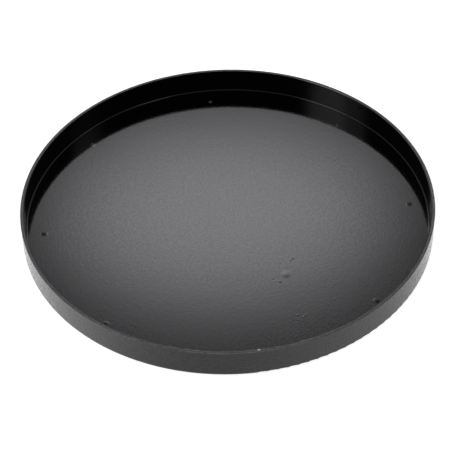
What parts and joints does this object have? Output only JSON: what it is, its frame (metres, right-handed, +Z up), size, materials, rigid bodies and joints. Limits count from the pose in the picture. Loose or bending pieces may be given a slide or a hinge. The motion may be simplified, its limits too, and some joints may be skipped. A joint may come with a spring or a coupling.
{
  "type": "oil drain pan",
  "caption": "Shallow round black plastic drain pan with a flat floor, a low straight wall and push-in rubber feet under the floor.",
  "frame": {"origin": "centre of the base, on the surface that the feet stand on", "axes": "+Z up, out of the pan's open mouth; +X through the first foot; +Y towards the back"},
  "size_m": [0.406, 0.406, 0.031],
  "materials": {
    "shell_plastic": "glossy black moulded plastic with a very fine grain",
    "foot_rubber": "soft matt black rubber"
  },
  "bodies": {
    "root": {"pan_shell": "shell_plastic", "foot_1": "foot_rubber", "foot_2": "foot_rubber", "foot_3": "foot_rubber", "foot_4": "foot_rubber", "foot_5": "foot_rubber", "foot_6": "foot_rubber", "foot_7": "foot_rubber", "foot_8": "foot_rubber"}
  },
  "joints": []
}
